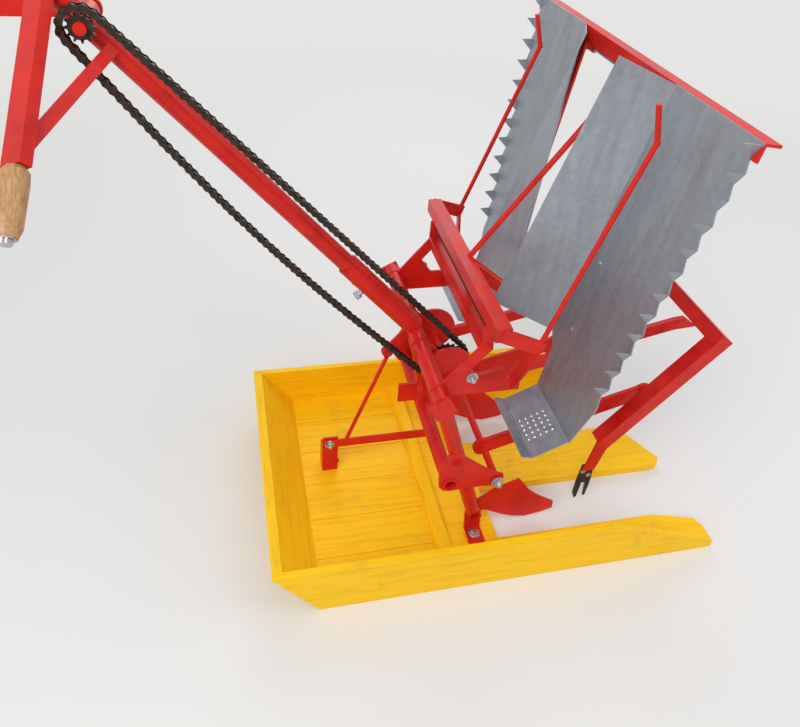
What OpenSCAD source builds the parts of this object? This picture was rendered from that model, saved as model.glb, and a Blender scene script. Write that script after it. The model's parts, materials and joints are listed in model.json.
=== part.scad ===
/* [Float] */
// Length of the float from bow to prong tips
float_l = 880; // [860:5:960]
// Width of the float over its side walls
float_w = 540; // [520:4:600]
// Thickness of the floor boards
board_t = 18; // [14:1:22]
// Height of the side walls and the bow board
wall_h = 110; // [90:5:130]
// Thickness of the side walls
wall_t = 13; // [9:1:16]
// Distance between the two planting rows
row_pitch = 252; // [244:2:260]
// Width of each slot between the prongs
slot_w = 127; // [110:1:134]
// Width of one floor board
plank_w = 90; // [60:5:120]
// Width of the cross batten
batten_w = 30; // [20:1:40]
// Height of the cross batten
batten_h = 14; // [8:1:25]

/* [Frame] */
// Outer diameter of the top cross tube
top_tube_d = 30; // [26:1:34]
// Outer diameter of the legs
leg_d = 28; // [22:1:28]
// Distance of each leg's top from the middle plane
leg_top_y = 185; // [182:1:190]
// Distance of each leg's lower end from the middle plane
leg_low_y = 150; // [148:1:156]
// Height of the top cross tube's centre
top_tube_z = 412; // [408:1:420]
// Thickness of the sheet used for brackets and straps
strap_t = 5; // [4:0.5:6]
// Width of the angle iron's flanges
angle_w = 25; // [20:1:28]
// Wall of the angle iron
angle_t = 4; // [3:0.5:5]
// Outer diameter of the lower cross tube
low_tube_d = 28; // [24:1:30]
// Diameter of the hold-down rods
rod_d = 8; // [6:0.5:10]

/* [Pole and handle] */
// Outer diameter of the pole
pole_d = 31; // [28:1:33]
// Outer diameter of the sleeve that holds the pole
sleeve_d = 38; // [36:1:40]
// Wall of the pole
pole_wall = 2.5; // [2:0.5:4]
// Distance of the crank's axis from the lower shaft
crank_reach = 790; // [760:5:800]
// Length of the pole past the crank's axis
pole_past = 80; // [76:1:100]
// Width of the handle bar
bar_w = 32; // [24:1:34]
// Thickness of the handle bar
bar_t = 16; // [12:1:18]
// Diameter of the wooden handle grip
grip_d = 33; // [28:1:38]

/* [Drive] */
// Pitch of the roller chain
chain_pitch = 12.7; // [12:0.1:13.4]
// Width of the chain over its outer links
chain_w = 14; // [11:0.5:15]
// Height of the chain's link plates
chain_h = 10; // [8:0.5:11]
// Sag of the chain's slack run
chain_sag = 20; // [5:1:26]
// Teeth on the sprocket at the crank
crank_teeth = 12; // [10:1:14]
// Teeth on the sprocket at the lower shaft
shaft_teeth = 22; // [18:1:24]
// Distance of the chain's plane from the middle plane
chain_y = 34; // [33:0.5:36]
// Diameter of the crank's shaft and the lower shaft
shaft_d = 16; // [12:1:18]
// Radius from the crank's shaft to its grip
crank_r = 150; // [110:5:180]
// Throw of the lower shaft's crank pins
throw_r = 35; // [28:1:36]
// Diameter of the lower shaft's crank discs
disc_d = 96; // [86:1:100]

/* [Planting gear] */
// Width of the arms' angle iron
arm_w = 30; // [24:1:32]
// Wall of the arms' angle iron
arm_t = 3; // [2:0.5:4]
// Width of the rocker's links
link_w = 34; // [26:1:38]
// Diameter of the rocker's shaft and pins
pin_d = 14; // [10:1:16]
// Width of the coupler bars
coupler_w = 24; // [18:1:26]
// Thickness of the coupler bars
coupler_t = 9; // [6:1:10]
// Length of the claw from its top edge to its tips
claw_l = 98; // [80:1:100]
// Width of the claw over its prongs
claw_w = 30; // [22:1:32]

/* [Seedling trays] */
// Height of the trays along their back plates
tray_l = 568; // [540:4:580]
// Thickness of the galvanised sheet
sheet_t = 2; // [1.5:0.5:3]
// Number of teeth along each tray's outer edge
tray_teeth = 12; // [8:1:14]
// Length of a tooth out of the edge
tooth_out = 23; // [12:1:24]
// Travel of the trays to each side
tray_travel = 30; // [10:1:30]
// Diameter of the lower tray rail
rail_d = 16; // [12:1:18]
// Diameter of the upper tray rail
top_rail_d = 12; // [8:1:14]
// Dimples along each side of the shelf's grid
dimple_count = 5; // [3:1:6]

/* [Clearances] */
// Radial clearance of a shaft in its bearing
run_clear = 0.1; // [0.05:0.05:0.3]
// Gap at a coped or seated joint
seat = 0.2; // [0.1:0.05:0.4]

/* [Hidden] */

$fn = 40;
red = "#d4281f";
yellow = "#fbbd08";
zinc = "#c9ccd0";
galvanised = "#8a919c";
near = -1;
far = 1;

// Plan of the float: x of each line across it
bow_x = -float_l / 2;
tip_x = float_l / 2;
bow_slope = 0.75;
bow_t = 18;
bow_foot = bow_x + bow_t + bow_slope * (wall_h - board_t);
slot_x = 6;
batten_x = -122;
half_in = float_w / 2 - wall_t;
slot_in = row_pitch / 2 - slot_w / 2;
slot_out = row_pitch / 2 + slot_w / 2;
groove = 2;

// Frame points, with y as the distance from the middle plane
top_x = -152;
stub = [-39, leg_low_y, 60];
stub_d = 26;
stub_half = 14;
leg_top = [top_x, leg_top_y, top_tube_z];
cap_t = 4;
top_half = leg_top_y + leg_d / 2 + 1;
side_y = 164;
brace_top = [-80, 497];
frame_rear = [-10, top_tube_z + 4];
rail_w = 20;
front_x = -74;
front_z = 552;
front_y = 209;
arm_end = [-18, 218, 531];
rod_bend = [89, 209, 860];
rod_top = [74, 211, 914];
leg_dir = (stub - leg_top) / norm(stub - leg_top);
low_tube_z = 196;
low_tube_x = leg_top.x + (stub.x - leg_top.x) * (leg_top.z - low_tube_z) / (leg_top.z - stub.z)
    + (leg_d + low_tube_d) / 2 / leg_dir.z - seat;
plate_y = leg_top_y - 4;
strut_y = 30;
strut_d = 22;
strut_low = [-76, strut_y, 88];
stay_z = 101;
stay_h = 20;
stay_x = -310;
eye = [-198, 357];

// Lower shaft, pole line and crank axis, in the x-z plane
shaft_c = [-101, 361];
pole_dir = [-0.665, 0.747];
pole_up = [0.747, 0.665];
function on_pole(s, v = 0) = shaft_c + s * pole_dir + v * pole_up;
crank_c = on_pole(crank_reach);
sleeve_s = [80, 269];
bolt_s = 208;
pole_end = crank_reach + pole_past;
bearing_d = 30;
bearing_y = [-24, 44];
handle_s = crank_reach + 60;
grip_drop = [-23, -205, -148];
grip_root = [on_pole(handle_s).x, 0, on_pole(handle_s).y] + grip_drop;
grip_l = 84;
brace_s = crank_reach - 45;
brace_up = 8;
brace_w = 22;
pitch_r1 = chain_pitch / 2 / sin(180 / shaft_teeth);
pitch_r2 = chain_pitch / 2 / sin(180 / crank_teeth);
chain_gap = 0.6;
bearing_in = 46;
disc_in = 56;
disc_t = 5;

// Planting gear pivots in the x-z plane at rest
pivot_f = [-22, 191];
pivot_p = [290, 293];
pivot_c = shaft_c - [0, throw_r];
arm_top = [402, 440];
arm_low = [213, 194];
arm_len = norm(arm_top - arm_low);
arm_angle = atan2(arm_top.y - arm_low.y, arm_top.x - arm_low.x);
arm_in = row_pitch / 2 - arm_w / 2;
lug_c = [330, 433];
rocker_y = 98;
rocker_t = 7;
coupler_in = 68;
claw_y = row_pitch / 2 - 4;
claw_top = [209, 110];

// Tray geometry: w runs up the back plate, y out from the middle plane
tray_foot = [54, 354];
tray_lean = 8.2;
fold_low_y = 82;
fold_top_y = 145;
edge_low_y = 272;
edge_top_y = 341;
gate_w = 88;
wall_w = gate_w + 22;
gate_y = 115;
corner_w = 96;
teeth_w = 108;
wall_front_low = [-34, 55, 505];
wall_over = [-43, 4];
shelf_front = [-5, 326];
flange_front = [-25, 332];
lower_rail = [28, 152];
upper_rail = [22, tray_l - 30];
collar_t = 4;
frame_leg_y = 128;
frame_leg_w = 24;
rail_half = frame_leg_y + frame_leg_w + tray_travel + 8;

// World x-z point of a place behind the back plate
function plate_pt(off, w) = [
    tray_foot.x + w * sin(tray_lean) + off * cos(tray_lean),
    tray_foot.y + w * cos(tray_lean) - off * sin(tray_lean)];
function fold_y(w) = fold_low_y + (fold_top_y - fold_low_y) * w / tray_l;
function edge_y(w) = edge_low_y + (edge_top_y - edge_low_y) * w / tray_l;
wall_top = plate_pt(wall_over.x, tray_l + wall_over.y);
wall_front_top = [wall_top.x, wall_front_low.y, wall_top.y];

// Sheet in the x-z plane that starts at y and is t thick
module slab(y, t) {
    translate([0, y + t, 0]) rotate([90, 0, 0]) linear_extrude(t) children();
}

// The same on one side of the middle plane, from y outward
module side_slab(side, y, t) {
    slab(side == far ? y : -y - t, t) children();
}

// Flat strip between two points of a drawing
module strip(a, b, w) {
    translate(a) rotate(atan2(b.y - a.y, b.x - a.x)) translate([0, -w / 2]) square([norm(b - a), w]);
}

// Strip of one width from a through a bend at b to c, with a mitred corner
module bent_strip(a, b, c, w) {
    n1 = left_of(b - a);
    n2 = left_of(c - b);
    m = (n1 + n2) / (1 + n1 * n2);
    polygon([a - n1 * w / 2, b - m * w / 2, c - n2 * w / 2, c + n2 * w / 2, b + m * w / 2, a + n1 * w / 2]);
}

// Places its children with z along the line from p to q, turned by roll about it
module along(p, q, roll = 0) {
    v = q - p;
    translate(p) rotate([0, acos(v.z / norm(v)), atan2(v.y, v.x)]) rotate(roll) children();
}

module bar(p, q, d) {
    along(p, q) cylinder(d = d, h = norm(q - p));
}

// Cylinder across the machine at a point of the x-z plane
module cross(c, y0, y1, d) {
    translate([c.x, y0, c.y]) rotate([-90, 0, 0]) cylinder(d = d, h = y1 - y0);
}

function left_of(v) = [-v.y, v.x] / norm(v);
function on_side(side, p) = [p.x, side * p.y, p.z];

// Plan of the floor boards with the slots left out
module deck_plan() {
    tip_cut = 95;
    round_cut = 55;
    polygon([[bow_foot, -half_in], [tip_x, -half_in], [tip_x, -slot_out - 42], [tip_x - 10, -slot_out - 22],
        [tip_x - tip_cut, -slot_out], [slot_x, -slot_out], [slot_x, -slot_in], [tip_x - 22, -slot_in],
        [tip_x - 8, -slot_in + 5], [tip_x, -slot_in + 18], [tip_x - round_cut, slot_in], [slot_x, slot_in],
        [slot_x, slot_out], [tip_x - tip_cut, slot_out], [tip_x - 10, slot_out + 22],
        [tip_x, slot_out + 42], [tip_x, half_in], [bow_foot, half_in]]);
}

module float_deck() {
    color(yellow) difference() {
        linear_extrude(board_t) deck_plan();
        for (n = [-2:2]) {
            translate([bow_foot + groove, n * plank_w - groove / 2, board_t - groove])
                cube([batten_x - bow_foot - 2 * groove, groove, 2 * groove]);
        }
    }
}

module float_bow() {
    color(yellow) slab(-half_in, 2 * half_in) polygon([
        [bow_x, wall_h], [bow_x + bow_t, wall_h], [bow_foot, board_t], [bow_foot, 0],
        [bow_x + bow_slope * wall_h, 0]]);
}

module float_side(side) {
    taper_x = 200;
    tip_h = 24;
    color(yellow) side_slab(side, half_in, wall_t) polygon([
        [bow_x, wall_h], [taper_x, wall_h], [tip_x - 14, tip_h], [tip_x, board_t], [tip_x, 0],
        [bow_x + bow_slope * wall_h, 0]]);
}

module float_batten() {
    bevel = 5;
    color(yellow) slab(-half_in, 2 * half_in) translate([batten_x, board_t]) polygon([
        [0, 0], [batten_w, 0], [batten_w, batten_h - bevel], [batten_w - bevel, batten_h],
        [bevel, batten_h], [0, batten_h - bevel]]);
}

module stub_hole(side) {
    cross([stub.x, stub.z], side * stub.y - stub_half - 20, side * stub.y + stub_half + 20,
        stub_d + 2 * seat);
}

// Bent foot: a slope down from the stub, then flat on the floor boards
module foot(side) {
    foot_w = 32;
    toe = 47;
    y0 = leg_low_y;
    floor_z = board_t;
    color(red) difference() {
        translate([stub.x - foot_w / 2, 0, 0]) rotate([90, 0, 90]) linear_extrude(foot_w) polygon([
            [side * (y0 - 4), stub.z], [side * (y0 + 5), floor_z], [side * (y0 + toe), floor_z],
            [side * (y0 + toe), floor_z + strap_t], [side * (y0 + 5 + strap_t), floor_z + strap_t],
            [side * (y0 + 2), stub.z]]);
        stub_hole(side);
        leg_bar(side, seat);
    }
    color(zinc) translate([stub.x, side * (y0 + 24), floor_z + strap_t]) cylinder(d = 8, h = 16);
}

module leg_bar(side, grow = 0) {
    bar(on_side(side, leg_top), on_side(side, stub), leg_d + 2 * grow);
}

module leg(side) {
    color(red) difference() {
        leg_bar(side);
        cross([top_x, top_tube_z], -top_half - 20, top_half + 20, top_tube_d + 2 * seat);
        stub_hole(side);
    }
}

// Lug of the stay rod: a flat ear under the top tube
module eye_lug() {
    slab(8, strap_t) difference() {
        union() {
            strip([top_x, top_tube_z], eye, brace_w - 4);
            translate(eye) circle(d = brace_w);
        }
        translate(eye) circle(d = rod_d);
    }
}

module top_tube() {
    cap_w = top_tube_d + 8;
    color(red) {
        difference() {
            union() {
                cross([top_x, top_tube_z], -top_half, top_half, top_tube_d);
                eye_lug();
            }
            cross([top_x, top_tube_z], -top_half - 1, top_half + 1, top_tube_d - 5);
        }
        for (side = [near, far]) {
            side_slab(side, top_half, cap_t) translate([top_x, top_tube_z - 8]) rotate(28)
                square(cap_w, center = true);
        }
    }
}

// Angle iron along x: one flange upright on the outside, one level inward
module side_angle(side) {
    len = frame_rear.x - top_x;
    side_slab(side, side_y + strap_t - angle_t, angle_t)
        translate([top_x, top_tube_z - angle_w / 2]) square([len, angle_w]);
    side_slab(side, side_y + strap_t - angle_w, angle_w)
        translate([top_x, top_tube_z - angle_w / 2]) square([len, angle_t]);
}

module side_frame(side) {
    strap_w = 20;
    gusset_x = 78;
    corner = [top_x + 4, top_tube_z];
    strap_top = [brace_top.x, front_z - angle_w / 2 - seat];
    post_p = [frame_rear.x - 14, side * (side_y + 2), frame_rear.y - 6];
    post_q = on_side(side, arm_end) - [0, side * 3, 8];
    color(red) difference() {
        union() {
            side_angle(side);
            side_slab(side, side_y, strap_t) {
                bent_strip(corner, brace_top, strap_top, strap_w);
                polygon([corner, [corner.x + gusset_x * 0.55, corner.y + gusset_x * 0.6],
                    [corner.x + gusset_x, corner.y]]);
            }
            along(post_p, post_q) translate([-strap_w / 2, -strap_t / 2, 0])
                cube([strap_w, strap_t, norm(post_q - post_p)]);
        }
        cross([top_x, top_tube_z], -top_half - 20, top_half + 20, top_tube_d + 2 * seat);
        front_arm(side, seat);
    }
}

module rear_rail() {
    color(red) slab(-side_y, 2 * side_y) translate(brace_top) square(rail_w, center = true);
}

// One arm of the front bar, as a flat bar set on edge
module front_arm(side, grow = 0) {
    p = [front_x, side * front_y, front_z];
    q = on_side(side, arm_end);
    along(p, q) translate([-angle_w / 2 - grow, -angle_t / 2 - grow, -angle_t])
        cube([angle_w + 2 * grow, angle_t + 2 * grow, norm(q - p) + angle_t + 8]);
}

module front_bar() {
    color(red) {
        slab(-front_y, 2 * front_y) translate([front_x - angle_w / 2, front_z - angle_w / 2]) union() {
            square([angle_t, angle_w]);
            translate([0, angle_w - angle_t]) square([angle_w, angle_t]);
        }
        for (side = [near, far]) {
            front_arm(side);
            side_slab(side, front_y - angle_t, angle_t)
                translate([front_x, front_z]) square(angle_w, center = true);
        }
    }
}

module hold_rod(side) {
    color(red) difference() {
        union() {
            bar(on_side(side, arm_end), on_side(side, rod_bend), rod_d);
            translate(on_side(side, rod_bend)) sphere(d = rod_d + 1.5);
            bar(on_side(side, rod_bend), on_side(side, rod_top), rod_d);
        }
        front_arm(side, seat);
        translate(on_side(side, arm_end) - [40, 20, 60]) cube([80, 40, 60]);
    }
}

module diagonal_rod() {
    top = plate_pt(upper_rail.x, upper_rail.y);
    color(red) difference() {
        bar([front_x, 0, front_z], [top.x, 0, top.y], rod_d + 2);
        cross(top, -20, 20, top_rail_d + 2 * seat);
        translate([front_x - 40, -20, front_z - 60]) cube([80, 40, 60 + angle_w / 2 + seat]);
    }
}

// Channel from the front bar, through the gap, to the lower tray rail
module centre_bracket() {
    half = 12;
    rail = plate_pt(lower_rail.x, lower_rail.y);
    knee = [11, 487];
    start = [front_x - 2, front_z + 5];
    web_up = left_of(start - knee) * (3 - rail_w / 2);
    color(red) difference() {
        union() {
            for (y = [-half, half - strap_t]) {
                slab(y, strap_t) {
                    bent_strip(start, knee, rail, rail_w);
                    translate(rail) circle(d = rail_w + 8);
                }
            }
            slab(-half, 2 * half) strip(start + web_up, knee + web_up, angle_t);
        }
        cross(rail, -half - 1, half + 1, rail_d + 2 * seat);
        translate([front_x - 60, -20, front_z - 60]) cube([60 + angle_w / 2 + seat, 40, 120]);
    }
}

module tray_rail() {
    color(zinc) cross(plate_pt(lower_rail.x, lower_rail.y), -rail_half, rail_half, rail_d);
}

module top_rail() {
    color(zinc) cross(plate_pt(upper_rail.x, upper_rail.y), -rail_half, rail_half, top_rail_d);
}

module centre_strut() {
    plate = [38, 46];
    color(red) difference() {
        union() {
            bar([top_x, strut_y, top_tube_z], strut_low, strut_d);
            slab(strut_y - strap_t / 2, strap_t) translate([-163, 205]) square(plate);
        }
        cross([top_x, top_tube_z], -top_half, top_half, top_tube_d + 2 * seat);
        cross([low_tube_x, low_tube_z], -top_half, top_half, low_tube_d + 2 * seat);
    }
}

module lower_tube() {
    color(red) difference() {
        cross([low_tube_x, low_tube_z], -plate_y - strap_t - 4, plate_y + strap_t + 4, low_tube_d);
        cross([low_tube_x, low_tube_z], -plate_y - 20, plate_y + 20, low_tube_d - 6);
    }
}

// Plate that carries the lower tube and the rocker's shaft beside a leg
module link_plate(side) {
    color(red) difference() {
        side_slab(side, plate_y, strap_t) difference() {
            polygon([[-134, 210], [-132, 190], [-124, 180], [-112, 176], [-98, 177], [-54, 178], [-26, 176],
                [-8, 181], [-10, 203], [-26, 210], [-55, 231], [-90, 262], [-104, 275],
                    [-120, 273], [-135, 245]]);
            translate([low_tube_x, low_tube_z]) circle(d = low_tube_d + 2 * seat);
            translate(pivot_f) circle(d = pin_d + 2 * run_clear);
        }
        leg_bar(side, seat);
    }
}

// Hanger from the top tube to the lower shaft
module bearing(side) {
    boss_d = shaft_d + 20;
    color(red) side_slab(side, bearing_in, strap_t) difference() {
        union() {
            strip([top_x, top_tube_z], shaft_c, boss_d - 8);
            translate(shaft_c) circle(d = boss_d);
        }
        translate(shaft_c) circle(d = shaft_d + 2 * run_clear);
        translate([top_x, top_tube_z]) circle(d = top_tube_d + 2 * seat);
    }
}

// Fish-tail blade on its cross stub
module blade(side) {
    blade_t = 4;
    color(red) difference() {
        union() {
            cross([stub.x, stub.z], side * stub.y - stub_half, side * stub.y + stub_half, stub_d);
            difference() {
                side_slab(side, stub.y - stub_half + 2, blade_t) polygon([
                    [stub.x - 2, stub.z - 12], [-10, 48], [30, 26], [52, 16], [79, 10], [112, 15], [140, 24],
                    [139, 43], [101, 69], [80, 88], [66, 108], [51, 128],
                        [0, 106], [stub.x - 2, stub.z + 12]]);
                leg_bar(side, seat);
            }
        }
        cross([stub.x, stub.z], side * stub.y - stub_half - 1, side * stub.y + stub_half + 1, stub_d - 8);
    }
}

module stay_angle() {
    w = 32;
    color(red) translate([stay_x - 3, strut_y + 4, board_t]) {
        cube([w, angle_t, stay_z + stay_h / 2 + 4 - board_t]);
        cube([angle_t, w, stay_z - stay_h - board_t]);
    }
}

module front_stay() {
    color(red) difference() {
        translate([stay_x, strut_y, stay_z - stay_h / 2]) cube([strut_low.x - stay_x, angle_t, stay_h]);
        bar([top_x, strut_y, top_tube_z], strut_low, strut_d + 2 * seat);
    }
}

module stay_rod() {
    low = [-264, strut_y + angle_t / 2, stay_z + stay_h / 2 + seat];
    high = [eye.x - 2, 1.5, eye.y - 7.5];
    disc_y = 8 - seat - strap_t;
    color(red) {
        difference() {
            along(low - (high - low) / 40, high, 37) cylinder(d = rod_d, h = 1.025 * norm(high - low));
            translate(low - [20, 20, 20]) cube([40, 40, 20]);
        }
        slab(disc_y, strap_t) translate(eye) circle(d = brace_w - 2);
    }
    color(zinc) slab(disc_y - 4, 5) translate(eye) circle(d = 11, $fn = 6);
}

module pole_bar(s0, s1, d) {
    a = on_pole(s0);
    b = on_pole(s1);
    bar([a.x, 0, a.y], [b.x, 0, b.y], d);
}

module pole_sleeve() {
    color(red) difference() {
        pole_bar(sleeve_s[0], sleeve_s[1], sleeve_d);
        pole_bar(sleeve_s[0] - 30, sleeve_s[1] + 1, pole_d + 2 * seat);
        cross([top_x, top_tube_z], -60, 60, top_tube_d + 2 * seat);
        bolt_shank(2 * seat);
    }
}

module bolt_shank(grow = 0) {
    a = on_pole(bolt_s, -pole_d / 2 - seat);
    b = on_pole(bolt_s, -sleeve_d / 2 - 14);
    bar([b.x, 0, b.y], [a.x, 0, a.y], 9 + grow);
}

module clamp_bolt() {
    a = on_pole(bolt_s, -sleeve_d / 2 - 6);
    b = on_pole(bolt_s, -sleeve_d / 2 - 14);
    color(zinc) {
        bolt_shank();
        along([b.x, 0, b.y], [a.x, 0, a.y]) cylinder(d = 17, h = 8, $fn = 6);
    }
}

// Pole tube with the crank's bearing welded through its upper end
module pole() {
    color(red) difference() {
        union() {
            difference() {
                pole_bar(sleeve_s[0] + 24, pole_end, pole_d);
                pole_bar(sleeve_s[0] + 20, pole_end - 4, pole_d - 2 * pole_wall);
            }
            cross(crank_c, bearing_y[0], bearing_y[1], bearing_d);
        }
        cross(crank_c, bearing_y[0] - 1, bearing_y[1] + 1, shaft_d + 2 * run_clear);
    }
}

// Turn about the bar's own line that lays its width square to the pole
function lie(p, q) = let (v = (q - p) / norm(q - p), az = atan2(v.y, v.x), po = acos(v.z),
    ax = [cos(po) * cos(az), cos(po) * sin(az), -sin(po)], ay = [-sin(az), cos(az), 0],
    n = [pole_up.x, 0, pole_up.y]) atan2(n * ay, n * ax);

handle_p = [on_pole(handle_s).x, 0, on_pole(handle_s).y];
grip_end = grip_root + grip_l * (grip_root - handle_p) / norm(grip_root - handle_p);

module handle_bar() {
    color(red) difference() {
        along(handle_p, grip_root, lie(handle_p, grip_root))
            translate([-bar_w / 2, -bar_t / 2, 0]) cube([bar_w, bar_t, norm(grip_root - handle_p)]);
        pole_bar(handle_s - 60, pole_end + 60, pole_d + 2 * seat);
    }
}

brace_p = [on_pole(brace_s, brace_up).x, 0, on_pole(brace_s, brace_up).y];
brace_q = handle_p + 0.94 * (grip_root - handle_p);

module handle_brace() {
    color(red) difference() {
        along(brace_p, brace_q, lie(brace_p, brace_q))
            translate([-strap_t, -brace_w / 2 + 3, 0])
                cube([2 * strap_t, brace_w - 6, norm(brace_q - brace_p) - 5]);
        pole_bar(brace_s - 90, pole_end, pole_d + 2 * seat);
        along(handle_p, grip_root, lie(handle_p, grip_root))
            translate([-bar_w / 2 - seat, -bar_t / 2 - seat, 0])
                cube([bar_w + 2 * seat, bar_t + 2 * seat, 400]);
    }
}

module handle_grip() {
    l = norm(grip_end - grip_root);
    color("#b98a5a") along(grip_root, grip_end) translate([0, 0, seat]) rotate_extrude() polygon([
        [0, 0], [grip_d / 2 - 5, 0], [grip_d / 2 - 1, 6], [grip_d / 2, 20], [grip_d / 2 - 1, l - 12],
        [grip_d / 2 - 5, l], [0, l]]);
    color(zinc) along(grip_root, grip_end) translate([0, 0, l - 1]) cylinder(d = 15, h = 8, $fn = 6);
}

// Closed path of the chain: centre line of a point at distance u, as [along, above, heading]
lean_b = asin((pitch_r1 - pitch_r2) / crank_reach);
run_l = crank_reach * cos(lean_b);
wrap_1 = (180 + 2 * lean_b) * PI / 180 * pitch_r1;
wrap_2 = (180 - 2 * lean_b) * PI / 180 * pitch_r2;
chain_total = 2 * run_l + wrap_1 + wrap_2;
chain_links = 2 * round(chain_total / 2 / chain_pitch);

function ring_pt(c, r, a) = [c + r * cos(a), r * sin(a), a + 90];
function chain_at(u) =
    u < run_l ? let (t = u / run_l, a = 90 - lean_b)
        [crank_reach + pitch_r2 * cos(a) - u * cos(lean_b), pitch_r2 * sin(a) + u * sin(lean_b),
            180 - lean_b] :
    u < run_l + wrap_1 ? ring_pt(0, pitch_r1, 90 - lean_b + (u - run_l) / pitch_r1 * 180 / PI) :
    u < 2 * run_l + wrap_1 ? let (t = (u - run_l - wrap_1) / run_l, a = 270 + lean_b)
        [pitch_r1 * cos(a) + t * run_l * cos(lean_b),
            pitch_r1 * sin(a) + t * run_l * sin(lean_b) - chain_sag * sin(180 * t),
            lean_b - atan(chain_sag * PI / run_l * cos(180 * t))] :
    ring_pt(crank_reach, pitch_r2, 270 + lean_b + (u - 2 * run_l - wrap_1) / pitch_r2 * 180 / PI);

// Three rings of four corners for each link: wide outer links, narrow inner ones, waisted at the middle
ring_at = [0.14, 0.5, 0.86];
ring_h = [1, 0.72, 1];
inner_step = 2.4;
function chain_ring(i) = let (j = floor(i / 3), k = i % 3,
    p = chain_at((j + ring_at[k]) * chain_total / chain_links),
    h = chain_h / 2 * ring_h[k], w = chain_w / 2 - (j % 2) * inner_step,
    nx = -sin(p[2]), ny = cos(p[2]))
    [for (c = [[-w, -h], [w, -h], [w, h], [-w, h]])
        let (q = on_pole(p[0] + c[1] * nx, p[1] + c[1] * ny)) [q.x, c[0] - chain_y, q.y]];

module chain() {
    rings = 3 * chain_links;
    color("#3a2a22") polyhedron(
        points = [for (i = [0:rings - 1]) each chain_ring(i)],
        faces = [for (i = [0:rings - 1], c = [0:3])
            let (a = 4 * i, b = 4 * ((i + 1) % rings), d = (c + 1) % 4)
            [a + c, b + c, b + d, a + d]]);
}

// Toothed wheel: flats at root and tip, four corners for each tooth
module sprocket_2d(teeth, pitch_r) {
    tip = pitch_r - chain_h / 2 - chain_gap;
    root = tip - 4;
    polygon([for (i = [0:teeth - 1], c = [[-0.5, root], [-0.26, root], [-0.1, tip],
        [0.1, tip], [0.26, root]])
        [c[1] * cos((i + c[0]) * 360 / teeth), c[1] * sin((i + c[0]) * 360 / teeth)]]);
}

module sprocket(c, teeth, pitch_r, hub_d) {
    wheel_t = 4;
    color("#6b5a50") difference() {
        union() {
            slab(-chain_y - wheel_t / 2, wheel_t) translate(c) sprocket_2d(teeth, pitch_r);
            cross(c, -chain_y - wheel_t / 2, -chain_y + wheel_t / 2 + 4, hub_d);
        }
        cross(c, -chain_y - 10, -chain_y + 10, shaft_d + 2 * seat);
    }
}

module top_sprocket() {
    sprocket(crank_c, crank_teeth, pitch_r2, shaft_d + 8);
}

module lower_sprocket() {
    sprocket(shaft_c, shaft_teeth, pitch_r1, shaft_d + 14);
}

// Crank of the upper shaft, pointing forward at rest
module crank_arm() {
    y0 = bearing_y[1] + 8;
    end = crank_c - [crank_r, 0];
    color(red) {
        cross(crank_c, -chain_y - 8, y0 + 1, shaft_d);
        slab(y0, 7) union() {
            strip(crank_c, end, 22);
            translate(crank_c) circle(d = 34);
            translate(end) circle(d = 25);
        }
    }
    color(zinc) cross(end, y0 + 6, y0 + 118, 10);
}

module crank_grip() {
    y0 = bearing_y[1] + 16;
    end = crank_c - [crank_r, 0];
    color("#b98a5a") difference() {
        translate([end.x, y0, end.y]) rotate([-90, 0, 0]) rotate_extrude() polygon([
            [0, 0], [12, 0], [15, 6], [16, 40], [14, 88], [10, 96], [0, 96]]);
        cross(end, y0 - 1, y0 + 100, 10 + 2 * run_clear);
    }
}

module crankshaft() {
    disc_out = disc_in + disc_t;
    color(red) {
        cross(shaft_c, -disc_in - 1, disc_in + 1, shaft_d);
        for (side = [near, far]) {
            side_slab(side, disc_in, disc_t) translate(shaft_c) circle(d = disc_d, $fn = 72);
            side_slab(side, disc_out - 1, 3) translate(pivot_c) circle(d = pin_d);
        }
    }
}

// Two links on one cross shaft
module rocker() {
    half = plate_y + strap_t + 6;
    color(red) {
        difference() {
            union() {
                cross(pivot_f, -half, half, pin_d);
                for (side = [near, far]) {
                    side_slab(side, rocker_y, rocker_t) {
                        strip(pivot_f, pivot_p, link_w);
                        translate(pivot_f) circle(d = link_w + 6);
                        translate(pivot_p) circle(d = link_w + 4);
                    }
                }
            }
            for (side = [near, far]) {
                side_slab(side, rocker_y - 1, rocker_t + 2)
                    translate(pivot_p) circle(d = pin_d + 2 * run_clear);
            }
        }
    }
}

// Places a drawing with x along the arm from its low end and y across it
module in_arm() {
    translate(arm_low) rotate(arm_angle) children();
}

// Angle iron arm with its pivot pin and the leg that carries the claw
module planting_arm(side) {
    leg_t = 5;
    foot = claw_top + [0, -2];
    color(red) {
        side_slab(side, arm_in + arm_w - arm_t, arm_t) in_arm()
            translate([0, -arm_w / 2]) square([arm_len, arm_w]);
        side_slab(side, arm_in, arm_w) in_arm() translate([0, arm_w / 2 - arm_t]) square([arm_len, arm_t]);
        side_slab(side, rocker_y - 2, arm_in + arm_w - arm_t - rocker_y + 3)
            translate(pivot_p) circle(d = pin_d);
        side_slab(side, claw_y, leg_t) polygon([
            foot + [-11, 0], foot + [13, 0], arm_low + [30, 10], arm_low + [26, 46], arm_low + [2, 22]]);
        side_slab(side, claw_y, arm_in + arm_w - claw_y) in_arm()
            translate([6, arm_w / 2 - 2 * arm_t]) square([30, arm_t + 1]);
    }
}

// Square bar inside the upper ends of both arms
module cross_bar() {
    half = arm_in + arm_w - arm_t;
    h = arm_w - arm_t;
    color(red) slab(-half, 2 * half) in_arm() translate([arm_len - h, -arm_w / 2]) square([h, h]);
}

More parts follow.
